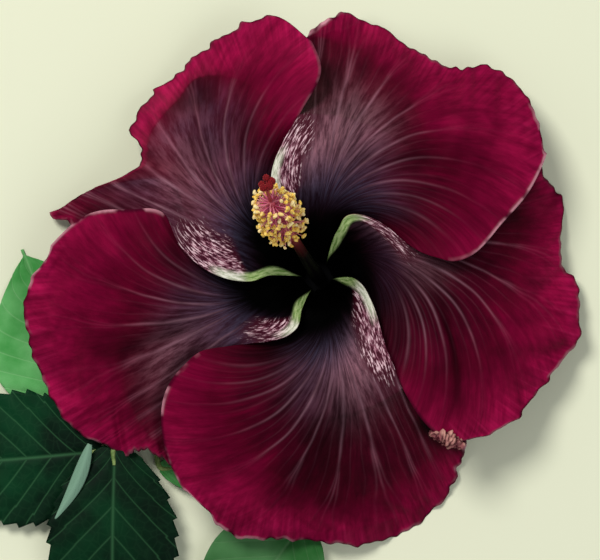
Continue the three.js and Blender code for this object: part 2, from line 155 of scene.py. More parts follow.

# Lists run from a petal's anticlockwise margin to its clockwise one: `rim` is the radius of its
# rim, at even steps or at `rim_at`, `dark` the radius at which its dark middle ends, and `pale`
# how pale its edge is, that pale line partly a paler edge and partly painted highlight. Towards
# the rim its anticlockwise margin sinks by `low`, the other one rises by `high` and its middle
# sinks by `fall`. `phase` shifts its ruffles. `points` are the places of the small points along
# its rim, and `sag` how far the rim falls back between them for each mm. Its veins leave the
# throat in the direction `fan`, in degrees. `grey_and_painted_sheen` is how much grey lies over its
# middle, up to the zone `clear`, that grey partly the petal's own and partly painted sheen, and
# `painted_sheen` the share across, the radius and the strength of a paler cloud of painted sheen.
# `valley` is the vein of its deepest fold, the fold's width in veins, how dark the painted shade in the
# fold is and its depth. `tone_and_painted_light` is its brightness, times `rim_tone` near the rim, if it
# has one. The light colours of its raised margin end at the radii `green_to`, `white_to` and
# `mottle_to`. `green` is the strength of the first and `strip` the width of the last. The throat's
# black, partly dark pigment and partly painted shade, reaches `black` mm further on the clockwise side,
# and so does the painted shade beneath the neighbour's raised margin. `lip` is the stretch of rim that
# turns down beyond a ridge, and how steeply.
PETALS = [
    dict(name="petal_upper_right", low=38, high=8, fall=2, phase=0.4,
         rim=[68.5, 79, 85.2, 81.6, 79, 83, 89.4, 89, 84],
         dark=[79, 76, 71, 64, 56, 53, 50, 40, 26],
         points=[0, 0.07, 0.14, 0.24, 0.36, 0.49, 0.7, 0.77, 0.83, 0.88, 0.95, 1], sag=0.07,
         pale=[2.2, 2.4, 0.3, 0, 0.2, 0, 0.1, 0.7, 1],
         fan=84, grey_and_painted_sheen=0.8, valley=(4.4, 0.8, 0.35, 0.5), tone_and_painted_light=0.94,
         green_to=20, white_to=35, mottle_to=60, strip=14,
         green=0, clear=0.9, painted_sheen=(0.2, 43, 0.8), black=0, rim_tone=0.92),
    dict(name="petal_right", low=23, high=6, fall=3, phase=1.7,
         rim=[81, 83.2, 86, 84, 88.6, 90.6, 85.2, 82, 72.5],
         dark=[72, 70, 67, 64, 62, 60, 56, 48, 36],
         points=[0, 0.1, 0.23, 0.49, 0.61, 0.75, 0.86, 0.93, 1], sag=0.09,
         pale=[0, 0.1, 0.3, 0.3, 0.5, 0.6, 0.8, 0.5, 0],
         fan=22, grey_and_painted_sheen=0.75, valley=(5.2, 0.2, 0.65, 1.3), tone_and_painted_light=1.02,
         green_to=20, white_to=19, mottle_to=44, strip=13,
         clear=0.6, painted_sheen=(0.12, 31, 0.3), black=1),
    dict(name="petal_bottom", low=23.4, high=7, fall=2, phase=2.9,
         rim=[75, 81.5, 88, 92.5, 93, 90, 89.5, 91, 82.5],
         dark=[68, 72, 74, 75, 74, 62, 52, 42, 34],
         points=[0, 0.09, 0.17, 0.25, 0.33, 0.41, 0.52, 0.61, 0.7, 0.78, 0.84, 0.92, 1], sag=0.08,
         pale=[0.8, 1, 0.7, 0.5, 0.4, 0.5, 0.7, 1, 0.8],
         fan=-67, grey_and_painted_sheen=0.8, valley=(1.9, 1.1, 0.5, 0.4), tone_and_painted_light=0.98,
         green_to=13, white_to=22, mottle_to=56, strip=12,
         clear=0.78, painted_sheen=(0.2, 35, 0.7), black=5, rim_tone=0.86),
    dict(name="petal_left", low=8, high=7, fall=1, phase=4.1,
         rim=[76.5, 79, 82.5, 88.5, 94.8, 95.6, 96, 94, 84.5],
         dark=[78, 76, 74, 68, 62, 58, 56, 51, 41],
         points=[0, 0.12, 0.33, 0.44, 0.51, 0.585, 0.62, 0.71, 0.83, 0.92, 1], sag=0.06,
         pale=[0.1, 0.1, 0.1, 0.5, 0.5, 0.6, 0.8, 1, 0.9],
         fan=-148, grey_and_painted_sheen=0.75, valley=(1, 0.4, 0.45, 0.9), tone_and_painted_light=0.9,
         green_to=16, white_to=20, mottle_to=42, strip=15,
         clear=0.95, painted_sheen=(0.2, 53, 0.4), black=9),
    dict(name="petal_upper_left", low=10, high=7, fall=10, phase=5.3,
         rim_at=[0, 0.08, 0.12, 0.15, 0.163, 0.21, 0.28, 0.36, 0.44, 0.52, 0.68, 0.77, 0.87, 0.95, 1],
         rim=[77, 82.3, 85, 88, 73, 67.5, 69.3, 74.8, 77, 78.2, 79.6, 81.2, 83.2, 82.4, 72.5],
         dark=[92, 88, 67.5, 68, 69, 71, 58, 45, 34],
         points=[0, 0.15, 0.36, 0.43, 0.52, 0.67, 0.76, 0.86, 0.95, 1], sag=0.11,
         pale=[0.8, 0.5, 0, 0, 0, 0.1, 0.1, 0.2, 0.2],
         fan=-207, grey_and_painted_sheen=0.85, valley=(2.6, 0.7, 0.4, 0.5), tone_and_painted_light=1.02,
         green_to=20, white_to=28, mottle_to=56, strip=18, lip=(0.28, 0.67, 0.5),
         clear=1, painted_sheen=(0.25, 50, 0.22), black=9),
]


def grown_lap(seam, radius):
    """How far the lower petal runs on beneath the upper one, in mm."""
    return seam["lap"] * smooth((radius - seam["cross"] - LAP_START) / LAP_GROWTH)


def seam_margins(seam, radius):
    """Directions of the two margins that meet at a seam, in degrees."""
    edge = through(SEAM_RADIUS, seam["edge"], radius)
    inside = INNER_LAP * rise(radius, INNER_START, INNER_GROWTH)
    inside = inside * smooth((seam["cross"] - 1.5 - radius) / 6)
    clear = SLIT / 2 * (1 - rise(radius, TUBE_RADIUS, 6))
    before = edge - np.degrees((inside - clear) / radius)
    after = edge + np.degrees((grown_lap(seam, radius) - clear) / radius)
    return before, after


def margin_lift(radius, cross, inner, outer):
    near = rise(radius, 9, 9) * np.clip((cross - radius) / 9, 0, 1)
    far = np.clip((radius - cross) / (TWIST_END - cross), 0, 1.2)
    return inner * near + outer * (0.65 * far + 0.35 * np.sqrt(far))


def towards_rim(t, start):
    return smooth((t - start) / (1 - start))


def petal_layout(index, u, t):
    """Radius, direction in degrees, height and width in mm of points (u, t) of a petal."""
    petal = PETALS[index]
    first = SEAMS[(index + 4) % 5]
    second = SEAMS[index]
    stations = petal.get("rim_at", np.linspace(0, 1, len(petal["rim"])))
    rim = through(stations, petal["rim"], u)
    points = np.asarray(petal["points"])
    at = np.clip(np.searchsorted(points, u, side="right") - 1, 0, len(points) - 2)
    gap = points[at + 1] - points[at]
    between = (u - points[at]) / gap
    sag = petal["sag"] * gap * RIM_LENGTH * 4 * between * (1 - between)
    frill = FRILL_DEPTH * np.sin(u * 93 + 4 * np.sin(9 * u))
    frill = frill + FINE_FRILL_DEPTH * np.sin(u * 171)
    rim = rim + towards_rim(t, FRILL_FROM) * (frill - sag)
    middle = np.mean(petal["rim"])
    radius = mix(CLAW_RADIUS, middle, t) + (rim - middle) * t**3
    start = seam_margins(first, radius)[1] + (360 if index == 0 else 0)
    end = seam_margins(second, radius)[0]
    profile = through(PROFILE_RADIUS, PROFILE_HEIGHT, radius)
    across = np.sin(np.pi * u)
    phase = petal["phase"]
    ruffle = towards_rim(t, RUFFLE_FROM) * np.sin(u * RUFFLE_WAVES + phase)
    folds = towards_rim(t, FOLD_FROM) * np.sin(u * FOLD_WAVES + 2 * np.sin(u * 8 + phase))
    height = (
        profile
        + (1 - u) ** MARGIN_POWER * margin_lift(radius, first["cross"], MARGIN_LIFT, -petal["low"])
        + u**MARGIN_POWER * margin_lift(radius, second["cross"], -MARGIN_LIFT, petal["high"])
        - petal["fall"] * across * rise(radius, 52, 34)
        + RUFFLE_HEIGHT * across * ruffle
        + FOLD_HEIGHT * across * folds
    )
    span = np.radians(start - end) * radius
    return radius, mix(start, end, u), height, span


def vein_fan(index, radius, angle):
    """The vein that a point lies on, counted clockwise, and the pitch of veins in mm.

    Veins leave the throat in one direction and turn clockwise by the same angle for each mm
    of radius, the more the further clockwise they end. Those on the other side stay parallel.
    """
    away = PETALS[index]["fan"] - angle
    grown = np.maximum(radius - FAN_START, 3.0)
    turn = np.maximum(away, 0) / grown
    wide = 1 + FAN_SPREAD * turn
    degree = np.degrees(1.0)
    curved = np.log(wide) / FAN_SPREAD
    curved_pitch = wide * grown / np.hypot(turn, degree / radius)
    parallel = away * radius / FAN_WIDTH**2
    share = smooth(away / 24 + 0.5)
    pitch = mix(FAN_WIDTH**2 / degree, curved_pitch, share)
    return mix(parallel, curved, share) / FAN_STEP, pitch * FAN_STEP


def lip_share(petal, u):
    """1 along the stretch of the rim that turns down beyond a ridge."""
    start, stop, _ = petal.get("lip", NO_LIP)
    return smooth((u - start + 0.06) / 0.1) * smooth((stop + 0.08 - u) / 0.14) * (stop > start)


def valley_share(petal, fan, radius):
    """1 in the bottom of the deepest fold, which follows a vein from the middle outwards."""
    vein, wide = petal["valley"][:2]
    return np.exp(-(((fan - vein) / wide) ** 2)) * rise(radius, 34, 14)


def petal_surface(index, u, t):
    """The middle surface of a petal with its fine crimps and pleats, in mm."""
    petal = PETALS[index]
    radius, angle, height, span = petal_layout(index, u, t)
    phase = petal["phase"]
    margin = np.clip(np.minimum(u, 1 - u) * 14, 0, 1)
    crimp = CRIMP_HEIGHT * towards_rim(t, CRIMP_FROM) * margin
    crimps = np.sin(u * 61 + 3 * np.sin(u * 9 + phase)) + 0.6 * np.sin(u * 113 + 5 * t + phase)
    fan, pitch = vein_fan(index, radius, angle)
    pleats = rise(pitch, 2.5, 3) * np.cos(2 * np.pi * fan)
    beyond = np.maximum(0, radius - along_list(petal["dark"], u))
    drop = petal.get("lip", NO_LIP)[2] * beyond * lip_share(petal, u)
    height = height + crimp * crimps + PLEAT_HEIGHT * pleats * margin - drop
    height = height - petal["valley"][3] * valley_share(petal, fan, radius)
    profile = through(PROFILE_RADIUS, PROFILE_HEIGHT, radius)
    below = np.where(radius < TUBE_RADIUS, np.minimum(0, profile - LEAN_LEVEL), 0)
    turn = np.radians(angle)
    x = LEAN_X * below + radius * np.cos(turn)
    y = LEAN_Y * below + radius * np.sin(turn)
    return np.stack([x, y, height], -1), radius, angle, span, fan, pitch


# ---- Meshes ----

LOWEST_TOP, LOWEST_BOTTOM = 0.15, 0.05  # mm above the floor, for a sheet's two faces


def new_object(name, vertices, faces, fields=None, uv=None):
    """A smooth mesh object from points in mm, with point fields and a UV for each point."""
    mesh = bpy.data.meshes.new(name)
    points = (np.asarray(vertices, float) + (*THROAT, 0)) * MM
    mesh.from_pydata(points.tolist(), [], [list(map(int, face)) for face in faces])
    for key, values in (fields or {}).items():
        attribute = mesh.attributes.new(key, "FLOAT", "POINT")
        attribute.data.foreach_set("value", np.asarray(values, np.float32).ravel())
    if uv is not None:
        layer = mesh.uv_layers.new(name="surface")
        loops = np.empty(len(mesh.loops), np.int32)
        mesh.loops.foreach_get("vertex_index", loops)
        layer.data.foreach_set("uv", np.asarray(uv, np.float32)[loops].ravel())
    mesh.polygons.foreach_set("use_smooth", np.ones(len(mesh.polygons), bool))
    mesh.update()
    made = bpy.data.objects.new(name, mesh)
    scene.collection.objects.link(made)
    return made


def grid_normals(points):
    along = np.gradient(points, axis=0)
    across = np.gradient(points, axis=1)
    normal = np.cross(along, across)
    return normal / np.linalg.norm(normal, axis=-1, keepdims=True)


def sheet_arrays(points, thick):
    """Vertices and quads of a closed thin sheet round a grid of points (rows, columns)."""
    rows, columns = points.shape[:2]
    offset = grid_normals(points) * (np.asarray(thick)[..., None] / 2)
    top, bottom = points + offset, points - offset
    if np.mean(offset[..., 2]) < 0:
        top, bottom = bottom, top
    top[..., 2] = np.maximum(top[..., 2], LOWEST_TOP)
    bottom[..., 2] = np.maximum(bottom[..., 2], LOWEST_BOTTOM)
    vertices = np.concatenate([top.reshape(-1, 3), bottom.reshape(-1, 3)])
    count = rows * columns
    at = np.arange(count).reshape(rows, columns)
    a, b, c, d = at[:-1, :-1], at[:-1, 1:], at[1:, 1:], at[1:, :-1]
    upper = np.stack([a, b, c, d], -1).reshape(-1, 4)
    lower = upper[:, ::-1] + count
    outline = np.concatenate([at[0, :], at[1:, -1], at[-1, -2::-1], at[-2:0:-1, 0]])
    ahead = np.roll(outline, -1)
    wall = np.stack([ahead, outline, outline + count, ahead + count], -1)
    faces = np.concatenate([upper, lower, wall])
    first = vertices[upper[0]]
    if np.cross(first[1] - first[0], first[3] - first[0])[2] < 0:
        faces = faces[:, ::-1]
    return vertices, faces


def share_grid(columns, rows):
    """Shares from 0 to 1 across and along a sheet, at each of its points."""
    return np.meshgrid(np.linspace(0, 1, columns + 1), np.linspace(0, 1, rows + 1))


def twice(grid):
    return np.concatenate([grid.ravel(), grid.ravel()])


def add_sheet(name, u, t, points, thick, fields, back=0.0):
    """A sheet with the same fields on both faces, but for "back": 1 below, `back` above."""
    vertices, faces = sheet_arrays(points, thick)
    doubled = {key: twice(np.broadcast_to(values, u.shape)) for key, values in fields.items()}
    doubled["back"] = np.concatenate([np.full(u.size, back), np.ones(u.size)])
    return new_object(name, vertices, faces, doubled, np.stack([twice(u), twice(t)], -1))


def laid_out(foot, turn, along, aside, height):
    """Points that lie `along` a direction from a foot and `aside` to the left of it."""
    x = foot[0] + along * math.cos(turn) - aside * math.sin(turn)
    y = foot[1] + along * math.sin(turn) + aside * math.cos(turn)
    return np.stack([x, y, height], -1)


def ring_points(centre, side, top, reach, turn):
    """Points round a line, by how far out and at what angle from `side` to `top` they lie."""
    across = side * (reach * np.cos(turn))[..., None]
    return centre + across + top * (reach * np.sin(turn))[..., None]


def noise_at(points, scale=1.0, shift=0.0):
    return np.array([noise.noise(Vector(p) * scale + Vector((shift, 0, 0))) for p in points])


def dress(piece, material, slot, *nodes):
    piece.data.materials.append(material)
    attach(piece, "root")
    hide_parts(*nodes)


# ---- Materials ----


def srgb(text):
    """A colour written as six hex digits, as linear red, green and blue."""
    parts = [int(text[i : i + 2], 16) / 255 for i in (0, 2, 4)]
    return tuple(c / 12.92 if c < 0.04045 else ((c + 0.055) / 1.055) ** 2.4 for c in parts)


class Nodes:
    """One node material, with short calls for the nodes in it."""

    def __init__(self, name, roughness, specular, sheen=0.0, sheen_tint="ffffff"):
        self.material = bpy.data.materials.new(name)
        self.material.use_nodes = True
        self.tree = self.material.node_tree
        self.shader = self.tree.nodes["Principled BSDF"]
        looks = {
            "Roughness": roughness,
            "Specular IOR Level": specular,
            "Sheen Weight": sheen,
            "Sheen Roughness": 0.4,
            "Sheen Tint": (*srgb(sheen_tint), 1),
        }
        for key, value in looks.items():
            self.shader.inputs[key].default_value = value

    def put(self, socket, value):
        if isinstance(value, bpy.types.NodeSocket):
            self.tree.links.new(value, socket)
        else:
            socket.default_value = value

    def new(self, kind, inputs, **settings):
        """A node with its settings, and with its inputs linked or set."""
        node = self.tree.nodes.new("ShaderNode" + kind)
        for key, value in settings.items():
            setattr(node, key, value)
        for key, value in inputs.items():
            self.put(node.inputs[key], value)
        return node

    def math(self, operation, a, b=0.0):
        return self.new("Math", {0: a, 1: b}, operation=operation).outputs[0]

    def chain(self, operation, values):
        return reduce(lambda a, b: self.math(operation, a, b), values)

    def add(self, *values):
        return self.chain("ADD", values)

    def mul(self, *values):
        return self.chain("MULTIPLY", values)

    def top(self, *values):
        return self.chain("MAXIMUM", values)

    def sub(self, a, b):
        return self.math("SUBTRACT", a, b)

    def spread(self, share, low, high):
        """From low at share 0 to high at share 1."""
        return self.add(low, self.mul(share, high - low))

    def sway(self, grain, width):
        """A noise as a shift to both sides of 0."""
        return self.mul(self.sub(grain, 0.5), width)

    def off_middle(self, value):
        """How far a value is from the middle between two whole numbers."""
        return self.math("ABSOLUTE", self.sub(self.math("FRACT", value), 0.5))

    def step(self, value, low, high):
        """0 below low, 1 above high, smooth between."""
        ends = {"Value": value, "From Min": low, "From Max": high}
        return self.new("MapRange", ends, interpolation_type="SMOOTHSTEP").outputs["Result"]

    def line(self, distance, width):
        """A soft line: 1 at distance 0, fading over width."""
        ratio = self.math("DIVIDE", distance, width)
        return self.math("EXPONENT", self.mul(ratio, ratio, -1.0))

    def field(self, name):
        return self.new("Attribute", {}, attribute_name=name).outputs["Fac"]

    def uv(self):
        place = self.new("UVMap", {}, uv_map="surface").outputs[0]
        return self.new("SeparateXYZ", {0: place}).outputs[:2]

    def place(self):
        return self.new("TexCoord", {}).outputs["Object"]

    def vector(self, x, y, z=0.0):
        return self.new("CombineXYZ", {0: x, 1: y, 2: z}).outputs[0]

    def noise(self, vector, scale, detail=2.0, roughness=0.5):
        inputs = dict(Vector=vector, Scale=scale, Detail=detail, Roughness=roughness)
        return self.new("TexNoise", inputs).outputs[0]

    def grain(self, scale, detail=2.0, roughness=0.5):
        """Noise by the place in space."""
        return self.noise(self.place(), scale, detail, roughness)

    def cells(self, scale, feature="DISTANCE_TO_EDGE"):
        inputs = dict(Vector=self.place(), Scale=scale)
        return self.new("TexVoronoi", inputs, feature=feature).outputs["Distance"]

    def ramp(self, value, stops):
        node = self.new("ValToRGB", {0: value})
        bar = node.color_ramp
        while len(bar.elements) < len(stops):
            bar.elements.new(1.0)
        for element, (place, color) in zip(bar.elements, stops):
            element.position = place
            element.color = (*srgb(color), 1)
        return node.outputs[0]

    def blend(self, share, a, b, kind="MIX"):
        a, b = ((*srgb(c), 1) if isinstance(c, str) else c for c in (a, b))
        inputs = {0: share, 6: a, 7: b}
        return self.new("Mix", inputs, data_type="RGBA", blend_type=kind).outputs[2]

    def gray(self, value):
        """A brightness as a colour, to multiply another one with."""
        return self.new("CombineColor", {0: value, 1: value, 2: value}).outputs[0]

    def finish(self, color, height=None, distance=0.0003, strength=0.5):
        self.put(self.shader.inputs["Base Color"], color)
        if height is not None:
            bump = self.new("Bump", dict(Strength=strength, Distance=distance, Height=height))
            self.put(self.shader.inputs["Normal"], bump.outputs[0])
        return self.material


SHARE_PER_MM = 0.0122  # of a petal's length, for each mm of radius


def petal_ground(n, zone, fine, broad, hairs):
    """Deep crimson, darker inwards, its shades drawn out along the veins."""
    streaked = n.add(zone, n.sway(broad, 0.6), n.sway(fine, 0.35))
    ground = n.ramp(n.mul(streaked, 0.5), [
        (0.0, "12020a"), (0.3, "2c020f"), (0.42, "420218"), (0.52, "54021e"),
        (0.64, "610225"), (0.78, "6e042b"), (0.9, "800634"), (1.0, "900a3e"),
    ])
    return n.blend(n.mul(n.step(zone, 1.15, 1.9), hairs, 0.12), ground, "b01a4c")


def petal_grey_and_sheen(n, ground, radius, cloud, hairs):
    """Grey over the middle, bluer in the throat, and a paler cloud: the grey partly the petals' own,
    partly painted sheen, the cloud painted sheen.
    """
    grey = n.blend(n.step(cloud, 0.35, 0.65), "42344a", "6c3f50")
    grey = n.blend(n.step(radius, 24.0, 46.0), "3a3d52", grey)
    greyed_and_sheened = n.blend(n.mul(n.field("grey_and_painted_sheen"), n.spread(hairs, 0.24, 0.8)), ground, grey)
    return n.blend(n.mul(n.field("painted_sheen"), n.spread(hairs, 0.3, 1.0)), greyed_and_sheened, "8c5f6a")


def petal_veins(n, fan, outward, broad):
    """Strong veins that fork on their way, and weak ones between them."""
    pitch = n.field("pitch")
    drift = n.noise(n.vector(n.mul(fan, 0.5), n.mul(outward, 2.5)), 1.0, 2.0)
    turn = n.add(fan, n.sway(drift, 0.6))
    index = n.math("FLOOR", turn)
    chance = n.noise(n.vector(index, 0.0), 3.7, 0.0)
    off = n.off_middle(turn)
    main = n.line(n.mul(off, pitch), 0.42)
    begin = n.spread(chance, 0.42, 0.82)
    fork = n.mul(n.step(outward, begin, n.add(begin, 0.7)), 0.36)
    branch = n.line(n.mul(n.math("ABSOLUTE", n.sub(off, fork)), pitch), 0.38)
    branch = n.mul(branch, n.step(outward, begin, n.add(begin, 0.15)))
    third = n.off_middle(n.mul(turn, 3.0))
    weak = n.line(n.mul(third, pitch, 0.333), 0.24)
    patchy = n.step(n.noise(n.vector(index, n.mul(outward, 6.0)), 1.0, 1.0), 0.25, 0.6)
    weight = n.mul(n.spread(n.step(chance, 0.3, 0.6), 0.35, 1.0), n.spread(patchy, 0.45, 1.0))
    return n.top(n.mul(main, weight), n.mul(branch, weight, 0.6), n.mul(weak, broad, 0.25))


def raised_margin(n, lit, radius, fine, cloud):
    """The raised margin: green in the throat, then whitish, then streaked with maroon."""
    wavy = n.add(n.field("aside"), n.sway(cloud, 4.0))
    streak = n.noise(n.vector(n.mul(wavy, 1.6), n.mul(radius, 0.33)), 1.0, 3.0, 0.65)
    mottle = n.field("mottle")
    rare = n.mul(n.sub(1.0, mottle), 0.18)
    speck = n.mul(n.step(n.sub(streak, rare), 0.43, 0.57), n.step(mottle, 0.0, 0.85))
    lit = n.blend(n.mul(n.step(mottle, 0.0, 0.7), 0.8), lit, "3c0b1a")
    glint = n.add(streak, n.sway(fine, 0.4))
    lit = n.blend(speck, lit, n.blend(n.step(glint, 0.46, 0.68), "8a4a60", "e0c2c8"))
    pale = n.blend(n.step(streak, 0.35, 0.6), "a7ad92", "e6e5d4")
    lit = n.blend(n.field("white"), lit, pale)
    return n.blend(n.field("green"), lit, n.blend(n.step(streak, 0.35, 0.62), "64863f", "a9bd80"))


def petal_material():
    """Black throat, grey veined middle (partly painted shade and sheen), deep crimson to the rim,
    mottled pale margins.
    """
    n = Nodes("petal", roughness=0.55, specular=0.02)
    zone, radius, fan = n.field("zone"), n.field("radius"), n.field("fan")
    outward = n.mul(radius, SHARE_PER_MM)
    fine = n.noise(n.vector(n.mul(fan, 5.0), n.mul(outward, 8.0)), 1.0, 4.0, 0.7)
    broad = n.noise(n.vector(n.mul(fan, 1.3), n.mul(outward, 3.0), 5.0), 1.0, 2.0)
    cloud = n.grain(32.0)
    hairs = n.step(fine, 0.37, 0.62)
    bearing = n.mul(n.field("bearing"), 0.9)
    wrinkles = n.noise(n.vector(bearing, n.mul(outward, 2.0)), 1.0, 2.0, 0.6)
    near_rim = n.mul(n.step(n.field("inward"), 16.0, 2.0), n.step(zone, 1.0, 1.3))

    ground = petal_ground(n, zone, fine, broad, hairs)
    # Near the rim the wrinkles get painted shade and painted highlight besides their bump.
    ground = n.blend(n.mul(near_rim, n.step(wrinkles, 0.56, 0.36), 0.36), ground, "4c021e")
    ground = n.blend(n.mul(near_rim, n.step(wrinkles, 0.54, 0.7), 0.16), ground, "c02c62")
    ground = petal_grey_and_sheen(n, ground, radius, cloud, hairs)

    veins = petal_veins(n, fan, outward, broad)
    shown = n.mul(
        n.step(radius, 24.0, 42.0),
        n.spread(n.step(zone, 0.8, 1.5), 1.0, 0.38),
        n.spread(n.step(zone, 1.6, 1.95), 1.0, 0.2),
        n.spread(n.step(n.uv()[0], 0.4, 0.75), 1.0, 0.42),
    )
    vein_color = n.blend(n.step(zone, 0.6, 1.3), "946c7a", "983454")
    lit = n.blend(n.mul(veins, shown, 0.5), ground, vein_color)

    patches = n.step(n.grain(75.0, 3.0), 0.3, 0.7)
    # The black of the deep throat: partly the petals' dark pigment, partly painted shade.
    throat = n.step(n.add(n.field("depth"), n.sway(fine, 9.0)), 13.0, 30.0)
    grain = n.mul(n.spread(fine, 0.5, 1.5), n.spread(patches, 0.8, 1.2))
    # Multiplied by the painted shade in the field `tone_and_painted_light` (folds, beneath and beside
    # neighbours) and by the throat's black.
    lit = n.blend(1.0, lit, n.gray(n.mul(n.field("tone_and_painted_light"), grain, throat)), "MULTIPLY")
    lit = raised_margin(n, lit, radius, fine, cloud)

    edge = n.field("edge")
    # Along the rim: a thin dark line of painted shade, and over it a pale line, partly a paler edge and
    # partly painted highlight.
    pale_rim_and_painted_highlight = n.mul(edge, n.step(n.grain(150.0), 0.42, 0.6), n.field("pale"), 0.85)
    lit = n.blend(n.mul(edge, 0.8), lit, "300216")
    lit = n.blend(pale_rim_and_painted_highlight, lit, "cf8f9d")
    back = n.blend(n.mul(veins, 0.35), "6a1c36", "96506a")
    # Near the throat the back is painted near-black: painted shade inside the tube.
    back = n.blend(n.step(radius, 14.0, 7.0), back, "040103")
    lit = n.blend(n.field("back"), lit, back)
    relief = n.add(n.mul(veins, 0.5), n.mul(fine, 0.7), n.mul(wrinkles, near_rim, 0.8))
    return n.finish(lit, relief, 0.0004, 0.5)


# ---- Petals ----

PETAL_COLUMNS, PETAL_ROWS = 150, 150
PETAL_THICK = 0.5


def petal_zone(petal, u, radius, lip):
    """1 where the dark middle ends, 2 at the rim, and raised beyond the ridge of a lip, brighter there:
    partly its own crimson, partly painted light.
    """
    reach = np.minimum(along_list(petal["dark"], u), radius[-1] - 2)
    outer = 1 + (radius - reach) / (radius[-1] - reach)
    zone = np.where(radius < reach, radius / reach, outer)
    return zone + 0.45 * lip * rise(zone, 1, 0.12)


# Shares of grey with painted sheen over the middle, and of a paler cloud of painted sheen.
def grey_and_sheen_fields(petal, u, radius, zone, lip):
    side = 1 - 0.9 * rise(u, 0.42, 0.33) * rise(radius, 30, 18)
    fading = mix(smooth((zone - petal["clear"] + 0.5) / 0.5), rise(zone, 0.9, 0.15), lip)
    grey_and_painted_sheen = petal["grey_and_painted_sheen"] * rise(radius, 14, 14) * (1 - fading) * side
    sheen_u, sheen_radius, strength = petal["painted_sheen"]
    off = ((u - sheen_u) / 0.16) ** 2 + ((radius - sheen_radius) / 13) ** 2
    return dict(grey_and_painted_sheen=grey_and_painted_sheen, painted_sheen=strength * np.exp(-off))


def petal_tone(index, u, radius, zone, fan, aside):
    """Brightness, with painted shade in the fold, beneath a neighbour's raised margin and in a
    neighbour's painted shadow.
    """
    petal, before = PETALS[index], SEAMS[(index + 4) % 5]
    under = rise(u, 0.6, 0.32) * (1 - smooth((radius - 22 - petal["black"]) / 20))
    fold = valley_share(petal, fan, radius) * smooth((1.85 - zone) / 0.6)
    shadow = 1 - smooth((aside - grown_lap(before, radius)) / 6)
    shadow = shadow * smooth((radius - before["cross"] - 6) / 10)
    rim_tone = mix(1, petal.get("rim_tone", 1), smooth(zone - 0.9))
    tone_and_painted_light = petal["tone_and_painted_light"] * (1 - 0.8 * under) * (1 - petal["valley"][2] * fold)
    return tone_and_painted_light * (1 - before["shade"] * shadow) * rim_tone


def margin_fields(petal, radius, aside):
    """Shares of green, white and mottle along the raised margin."""
    beyond = radius - petal["green_to"]
    grow = smooth((beyond + 1) / 5)
    taper = 3.2 * rise(radius, 4, 9)
    green = petal.get("green", 1) * (1 - smooth(beyond / 4)) * smooth((taper - aside) / 1.2)
    white = grow * (1 - rise(radius, petal["white_to"], 6)) * smooth((3.6 - aside) / 2.2)
    to_end = petal["mottle_to"] - radius
    closing = petal["strip"] * smooth((beyond + 4) / 14) * smooth(to_end / 20)
    mottle = grow * smooth((closing - aside) / np.maximum(0.6 * closing, 0.5))
    return dict(green=green, white=white, mottle=mottle * (1 - smooth((22 - to_end) / 19)))


def add_petal(index, material):
    petal = PETALS[index]
    u, t = share_grid(PETAL_COLUMNS, PETAL_ROWS)
    points, radius, angle, span, fan, pitch = petal_surface(index, u, t)
    inward = radius[-1] - radius
    aside = u * span
    lip = lip_share(petal, u)
    zone = petal_zone(petal, u, radius, lip)
    pale = along_list(petal["pale"], u)
    to_edge = np.minimum(inward, 40 * (t < 0.5) + 0.7 * (1 - u) * span)
    fields = dict(
        zone=zone, radius=radius, bearing=angle, inward=inward, aside=aside, fan=fan, pitch=pitch,
        depth=radius - petal["black"] * rise(u, 0.2, 0.5),
        tone_and_painted_light=petal_tone(index, u, radius, zone, fan, aside),
        edge=(1 - smooth((to_edge - 0.2) / (0.5 + 0.4 * pale))) * rise(radius, 40, 20),
        pale=pale,
        **grey_and_sheen_fields(petal, u, radius, zone, lip),
        **margin_fields(petal, radius, aside),
    )
    thick = PETAL_THICK * (1 - 0.6 * rise(t, 0.9, 0.1))
    piece = add_sheet(petal["name"] + "_skin", u, t, points, thick, fields)
    dress(piece, material, "petal", petal["name"])


skin = petal_material()
for number in range(len(PETALS)):
    add_petal(number, skin)

CURL = dict(start=(37.8, -52.6, 31.0), end=(48.6, -57.6, 28.0), radius=2.5, turns=1.6,
            thick=0.25, columns=60, rows=40)


def add_curl():
    """The right petal's lower corner, dried and rolled up into a crumpled curl."""
    share, around = share_grid(CURL["columns"], CURL["rows"])
    start, end = np.array(CURL["start"]), np.array(CURL["end"])
    axis = (end - start) / np.linalg.norm(end - start)
    side = np.cross(axis, [0, 0, 1])
    side /= np.linalg.norm(side)
    top = np.cross(side, axis)
    spot = np.stack([share * 13, np.cos(around * 9) * 1.6, np.sin(around * 9) * 1.6], -1)
    crumple = 1 + 0.75 * noise_at(spot.reshape(-1, 3)).reshape(share.shape)
    swell = 0.35 + 0.65 * np.sin(np.pi * np.clip(share, 0.02, 0.98)) ** 0.7
    reach = CURL["radius"] * (0.35 + 0.65 * around) * crumple * swell
    turn = 2 * np.pi * CURL["turns"] * around + 0.8 * np.sin(share * 9)
    points = ring_points(start + (end - start) * share[..., None], side, top, reach, turn)
    vertices, faces = sheet_arrays(points, CURL["thick"])
    piece = new_object("petal_curl", vertices, faces, {"around": twice(around * crumple)})
    n = Nodes("curl", roughness=0.7, specular=0.05)
    grain = n.grain(900.0, 3.0)
    color = n.blend(n.step(grain, 0.35, 0.65), "3a0d18", "94585a")
    color = n.blend(n.step(n.field("around"), 0.75, 1.25), color, "cf9a8c")
    dress(piece, n.finish(color, grain, 0.0003, 0.5), "petal", "petal_right")


add_curl()

# ---- Round limbs ----


def sideways(ahead, hint=(0.3, 0.2, 1.0)):
    """Two directions square to `ahead` and to each other."""
    side = np.cross(ahead, np.array(hint))
    side /= np.linalg.norm(side, axis=-1, keepdims=True)
    return side, np.cross(ahead, side)


